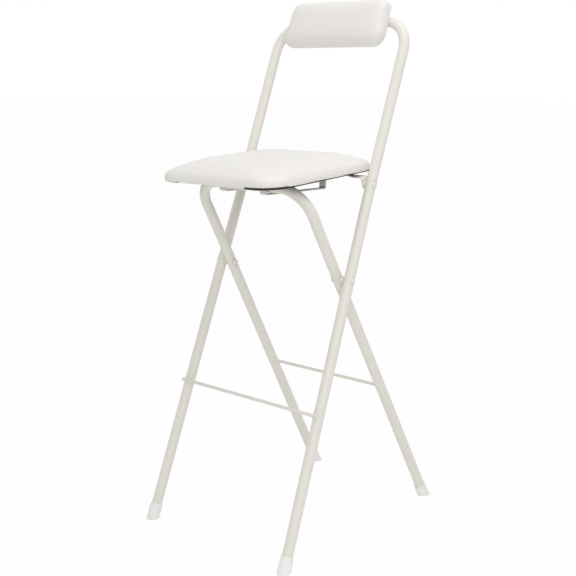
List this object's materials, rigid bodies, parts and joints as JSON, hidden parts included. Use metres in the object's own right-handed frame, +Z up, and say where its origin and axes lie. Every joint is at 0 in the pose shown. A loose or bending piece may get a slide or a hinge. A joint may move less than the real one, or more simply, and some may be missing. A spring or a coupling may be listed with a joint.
{
  "type": "folding bar stool",
  "caption": "Folding bar stool of crossed steel tube frames with a tilting padded seat, a padded backrest, a footrest rod and flared foot caps.",
  "frame": {"origin": "centre of the footprint's bounding box, on the floor", "axes": "+Z up, -Y towards the front of the stool (the way the sitter faces), +X to the sitter's left"},
  "size_m": [0.364, 0.4709, 0.9718],
  "materials": {
    "frame_paint": "ivory powder coat, satin",
    "rivet_paint": "ivory enamel over steel rivet, satin",
    "cap_plastic": "milky white polyethylene, soft satin",
    "spacer_nylon": "natural nylon, satin",
    "zinc_steel": "bright zinc plate",
    "black_hardboard": "black painted hardboard, matt",
    "plywood": "raw plywood, matt",
    "seat_vinyl": "off-white grained vinyl cover, satin",
    "back_vinyl": "off-white grained vinyl cover, satin"
  },
  "bodies": {
    "front": {"front_frame": "frame_paint", "footrest_rod": "frame_paint", "front_foot_caps": "cap_plastic", "pivot_rivets": "rivet_paint", "pivot_spacers": "spacer_nylon", "pivot_washers": "zinc_steel", "hinge_rivets": "rivet_paint", "hinge_washers": "spacer_nylon", "backrest_back_cover": "back_vinyl", "backrest_board": "plywood", "backrest_cushion": "back_vinyl", "backrest_tee_nuts": "zinc_steel", "backrest_screws": "zinc_steel"},
    "rear": {"rear_frame": "frame_paint", "rear_stretcher": "frame_paint", "rear_foot_caps": "cap_plastic"},
    "seat": {"hinge_bracket": "frame_paint", "bracket_packers": "zinc_steel", "bracket_screws": "zinc_steel", "slide_strap_left": "frame_paint", "slide_strap_right": "frame_paint", "strap_screws": "zinc_steel", "seat_base_panel": "black_hardboard", "panel_screws": "zinc_steel", "seat_board": "plywood", "seat_cushion": "seat_vinyl"}
  },
  "joints": [
    {"name": "frame_fold", "type": "hinge", "parent": "front", "child": "rear", "pos_m": [0, -0.04315, 0.47742], "axis": [-1, 0, 0], "range_deg": [0, 44.8]},
    {"name": "seat_tilt", "type": "hinge", "parent": "front", "child": "seat", "pos_m": [0, 0.01868, 0.642], "axis": [-1, 0, 0], "range_deg": [0, 31.4]}
  ],
  "couplings": [
    {"joint": "seat_tilt", "follows": "frame_fold", "ratio": 0.7}
  ]
}
